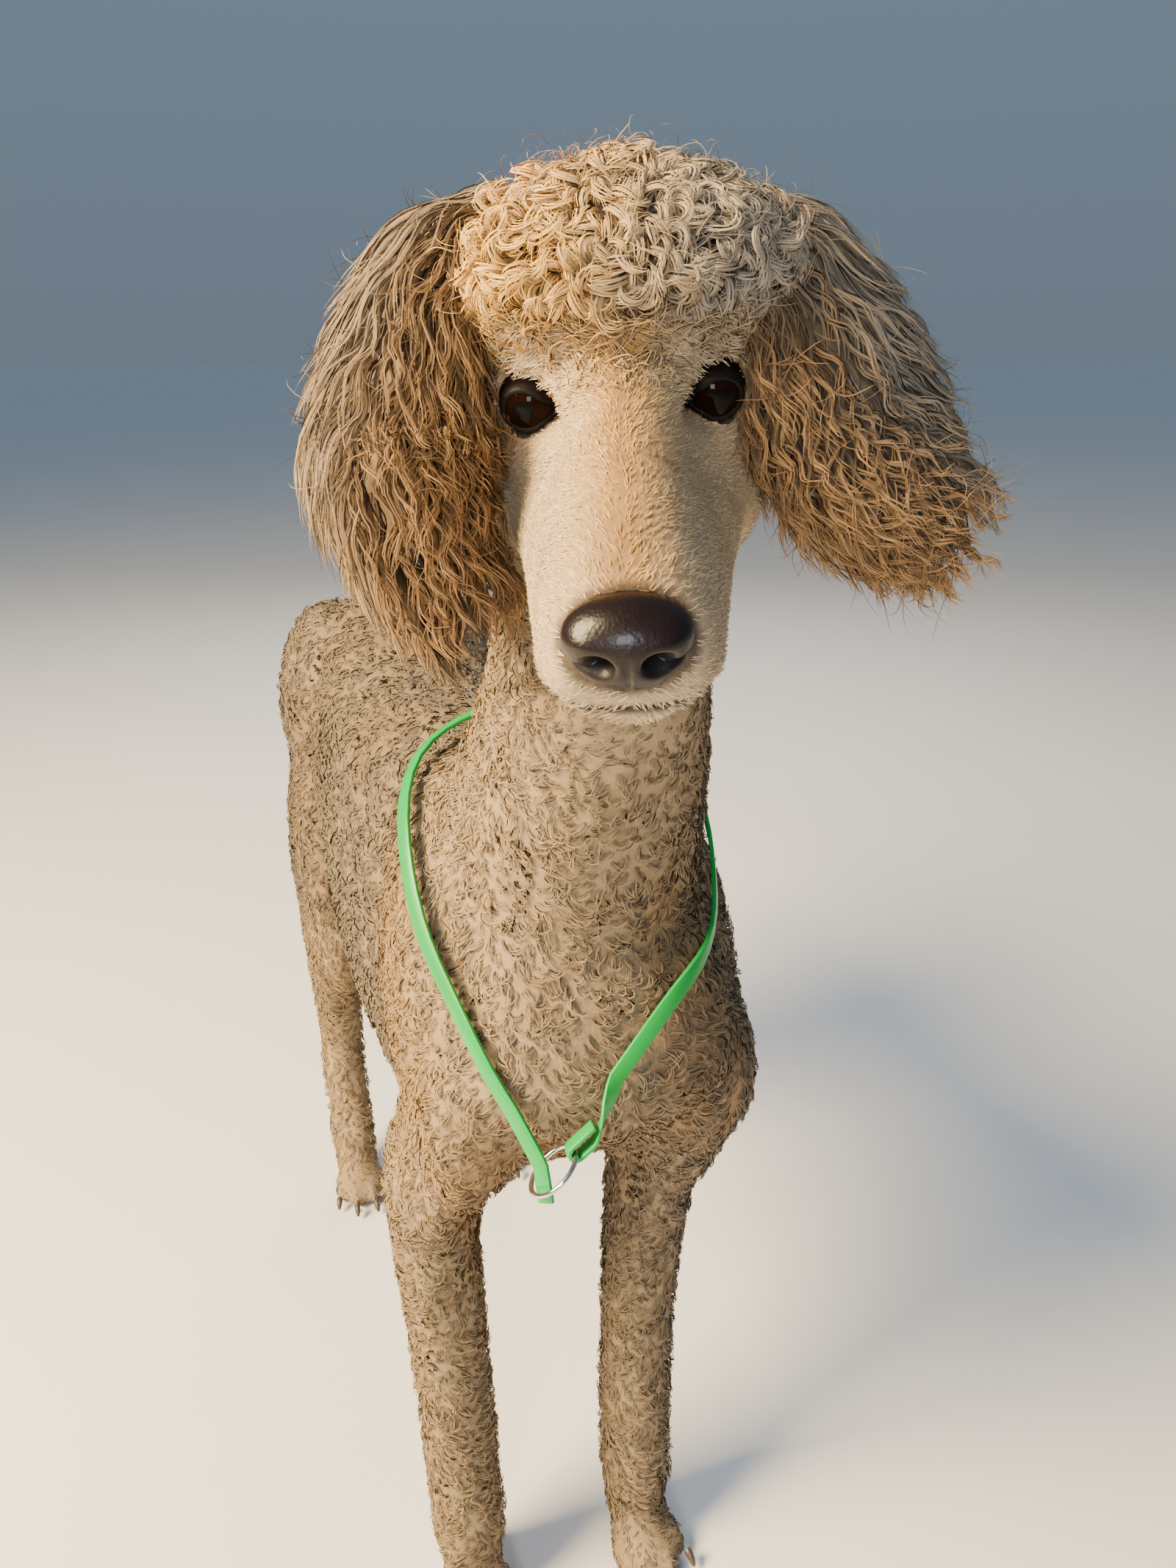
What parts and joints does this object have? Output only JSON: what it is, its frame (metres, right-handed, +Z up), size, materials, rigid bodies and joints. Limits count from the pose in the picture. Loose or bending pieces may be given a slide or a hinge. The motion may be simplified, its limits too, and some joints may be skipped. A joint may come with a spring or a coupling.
{
  "type": "standard poodle",
  "caption": "Life-size standing standard poodle in a short clip, with curled topknot, long ears, pompon tail and a slip collar.",
  "frame": {"origin": "middle of the foot of the whole box, on the ground under the dog", "axes": "+Z up, -Y the way the dog faces, +X the dog's left"},
  "size_m": [0.2572, 0.939, 0.9171],
  "materials": {
    "coat": "short curly tan coat",
    "face": "clipped pale cream coat",
    "topknot": "golden cream ringlets",
    "ear": "long wavy apricot hair",
    "nose": "moist dark brown leather",
    "eye": "wet dark brown",
    "strap": "smooth bright green coated webbing",
    "ring": "polished steel"
  },
  "bodies": {
    "root": {"torso": "coat", "neck": "coat", "foreleg_left": "coat", "foreleg_right": "coat", "hindleg_left": "coat", "hindleg_right": "coat", "tail": "coat", "head": "face", "lower_jaw": "face", "topknot": "topknot", "ear_left": "ear", "ear_right": "ear", "nose": "nose", "eye_left": "eye", "eye_right": "eye", "collar_strap": "strap", "collar_ring": "ring"}
  },
  "joints": []
}
